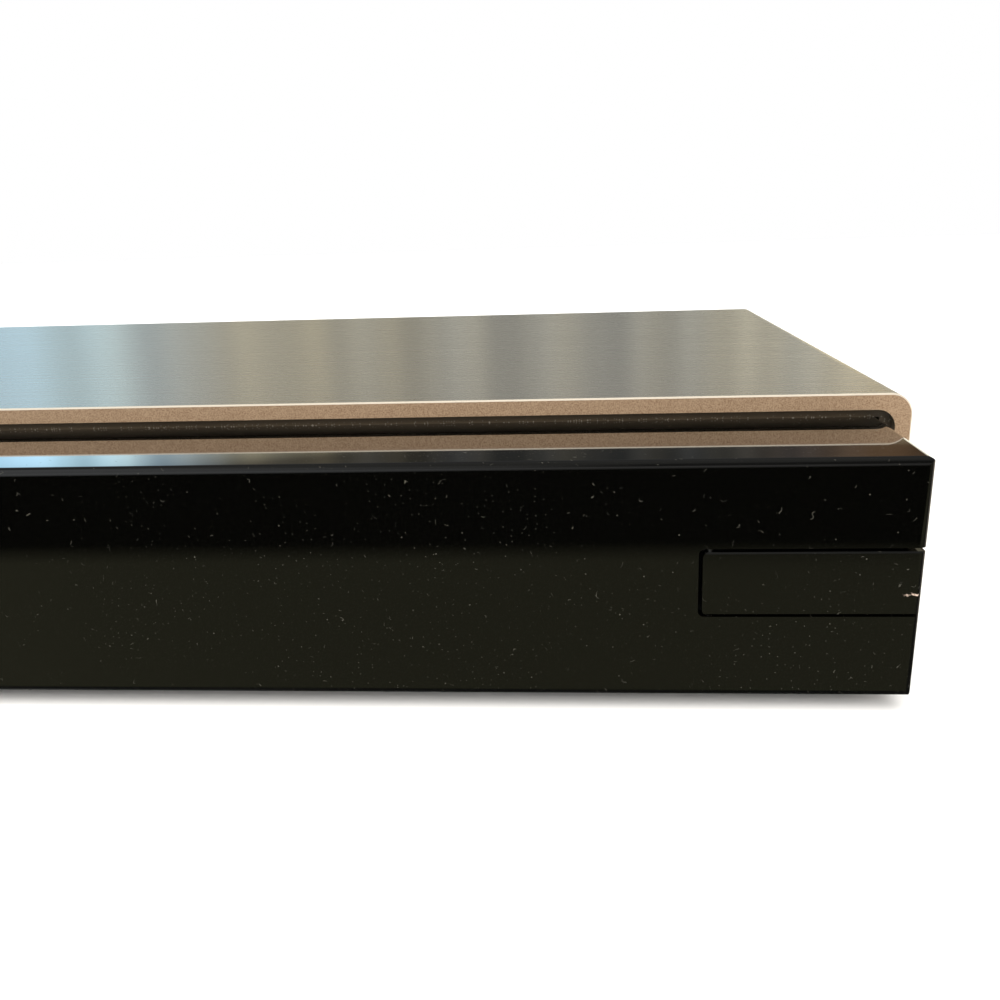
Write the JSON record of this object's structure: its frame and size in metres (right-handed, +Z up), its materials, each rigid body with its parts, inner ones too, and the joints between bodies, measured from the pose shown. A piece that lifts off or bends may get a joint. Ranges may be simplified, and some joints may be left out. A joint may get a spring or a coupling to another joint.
{
  "type": "optical disc player",
  "caption": "Low disc player: gloss black front with sliding disc tray, buttons and a hinged socket flap, under a thick aluminium sleeve held off by a shadow gap.",
  "frame": {"origin": "middle of the footprint, on the plane the feet stand on", "axes": "+X to the right seen from the front, +Y to the back, +Z up"},
  "size_m": [0.4302, 0.2276, 0.0477],
  "materials": {
    "sleeve_aluminium": "brushed top, bead-blasted edge",
    "shadow_plastic": "matt moulded",
    "chassis_steel": "matt black coat",
    "rear_steel": "fine black texture coat",
    "foot_plastic": "moulded",
    "foot_rubber": "matt rubber",
    "screw_steel": "zinc plated",
    "gloss_black": "piano black gloss",
    "flap_black": "satin black",
    "smoked_window": "smoked clear plastic",
    "display_glass": "dark filter glass",
    "green_board": "solder mask",
    "brown_board": "paper laminate",
    "lamp_red": "clear red",
    "switch_plastic": "moulded",
    "socket_metal": "tinned sheet",
    "socket_black": "moulded",
    "loader_plastic": "moulded",
    "plated_steel": "zinc plated",
    "white_plastic": "acetal",
    "brass_piece": "turned",
    "belt_rubber": "moulded",
    "tray_plastic": "fine grain moulded",
    "traverse_metal": "black coat",
    "turntable_plastic": "moulded with rubber ring",
    "sled_metal": "die cast",
    "lens_glass": "coated lens",
    "chip_black": "moulded",
    "heat_sink_black": "black anodised",
    "heat_sink_plain": "plain",
    "winding_tape": "tape and ferrite",
    "capacitor_sleeve": "sleeve",
    "ribbon_film": "film"
  },
  "bodies": {
    "case": {"top_sleeve": "sleeve_aluminium", "shadow_strip": "shadow_plastic", "base_pan": "chassis_steel", "rear_panel": "rear_steel", "feet": "foot_plastic", "foot_pads": "foot_rubber", "sleeve_screws": "screw_steel", "loader_screws": "screw_steel", "board_screws": "screw_steel", "flap_pin": "screw_steel", "front_panel": "gloss_black", "front_end": "gloss_black", "display_window": "smoked_window", "display_module": "display_glass", "display_board": "green_board", "power_switch_board": "green_board", "front_socket_board": "green_board", "main_board": "green_board", "power_board": "brown_board", "standby_light": "lamp_red", "button_switches": "switch_plastic", "front_socket": "socket_metal", "video_socket": "socket_metal", "lan_socket": "socket_metal", "audio_sockets": "socket_black", "optical_socket": "socket_black", "mains_inlet": "socket_black", "loader_frame": "loader_plastic", "flap_pocket": "loader_plastic", "clamp_bridge": "plated_steel", "loading_motor": "plated_steel", "drive_belt": "belt_rubber", "main_chips": "chip_black", "main_heat_sink": "heat_sink_black", "power_heat_sink": "heat_sink_plain", "transformer": "winding_tape", "capacitors": "capacitor_sleeve", "ribbon_cable": "ribbon_film"},
    "tray": {"tray": "tray_plastic", "tray_front": "gloss_black"},
    "drive_gear": {"drive_gear": "white_plastic"},
    "pulley_gear": {"pulley_gear": "white_plastic"},
    "motor_pulley": {"motor_pulley": "brass_piece"},
    "lift_slider": {"lift_slider": "white_plastic"},
    "traverse": {"traverse_frame": "traverse_metal", "spindle_motor": "plated_steel", "guide_rods": "plated_steel", "sled_motor": "plated_steel"},
    "turntable": {"turntable": "turntable_plastic"},
    "clamper": {"clamper": "white_plastic"},
    "pickup": {"pickup_sled": "sled_metal", "pickup_lens": "lens_glass"},
    "lead_screw": {"lead_screw": "brass_piece"},
    "power_button": {"power_button": "gloss_black"},
    "eject_button": {"eject_button": "gloss_black"},
    "flap": {"flap": "flap_black"}
  },
  "joints": [
    {"name": "tray_slide", "type": "slide", "parent": "case", "child": "tray", "axis": [0, -1, 0], "range_m": [0, 0.13]},
    {"name": "drive_gear_spin", "type": "hinge", "parent": "case", "child": "drive_gear", "pos_m": [-0.072, -0.08975, 0.014], "axis": [0, 0, -1], "range_deg": [-2, 535]},
    {"name": "pulley_gear_spin", "type": "hinge", "parent": "case", "child": "pulley_gear", "pos_m": [-0.0929, -0.08975, 0.014], "axis": [0, 0, 1], "range_deg": [-5, 1780]},
    {"name": "motor_pulley_spin", "type": "hinge", "parent": "case", "child": "motor_pulley", "pos_m": [-0.1229, -0.08975, 0.016], "axis": [0, 0, 1], "range_deg": [-10, 5920]},
    {"name": "traverse_lift", "type": "hinge", "parent": "case", "child": "traverse", "pos_m": [-0.104, 0.03825, 0.0145], "axis": [1, 0, 0], "range_deg": [0, 2.7]},
    {"name": "lift_slide", "type": "slide", "parent": "case", "child": "lift_slider", "axis": [1, 0, 0], "range_m": [0, 0.0245]},
    {"name": "turntable_spin", "type": "hinge", "parent": "traverse", "child": "turntable", "pos_m": [-0.104, -0.04575, 0.024], "axis": [0, 0, 1], "continuous": true},
    {"name": "clamper_spin", "type": "hinge", "parent": "case", "child": "clamper", "pos_m": [-0.104, -0.04575, 0.034], "axis": [0, 0, 1], "continuous": true},
    {"name": "sled_slide", "type": "slide", "parent": "traverse", "child": "pickup", "axis": [0, 1, 0], "range_m": [0, 0.034]},
    {"name": "lead_screw_spin", "type": "hinge", "parent": "traverse", "child": "lead_screw", "pos_m": [-0.0755, -0.01375, 0.018], "axis": [0, 1, 0], "range_deg": [-10, 3410]},
    {"name": "power_button_press", "type": "slide", "parent": "case", "child": "power_button", "axis": [0, 1, 0], "range_m": [0, 0.0008], "stiffness_N_per_m": 1000},
    {"name": "eject_button_press", "type": "slide", "parent": "case", "child": "eject_button", "axis": [0, 1, 0], "range_m": [0, 0.0008], "stiffness_N_per_m": 1000},
    {"name": "flap_hinge", "type": "hinge", "parent": "case", "child": "flap", "pos_m": [0.17725, -0.11245, 0.0231], "axis": [0, 0, -1], "range_deg": [0, 90]}
  ],
  "couplings": [
    {"joint": "drive_gear_spin", "follows": "tray_slide", "rad_per_m": 71.429},
    {"joint": "pulley_gear_spin", "follows": "tray_slide", "rad_per_m": 238.1},
    {"joint": "motor_pulley_spin", "follows": "tray_slide", "rad_per_m": 793.65},
    {"joint": "lift_slide", "follows": "traverse_lift", "m_per_rad": 0.50861},
    {"joint": "clamper_spin", "follows": "turntable_spin", "ratio": 1},
    {"joint": "lead_screw_spin", "follows": "sled_slide", "rad_per_m": 1745.3}
  ]
}
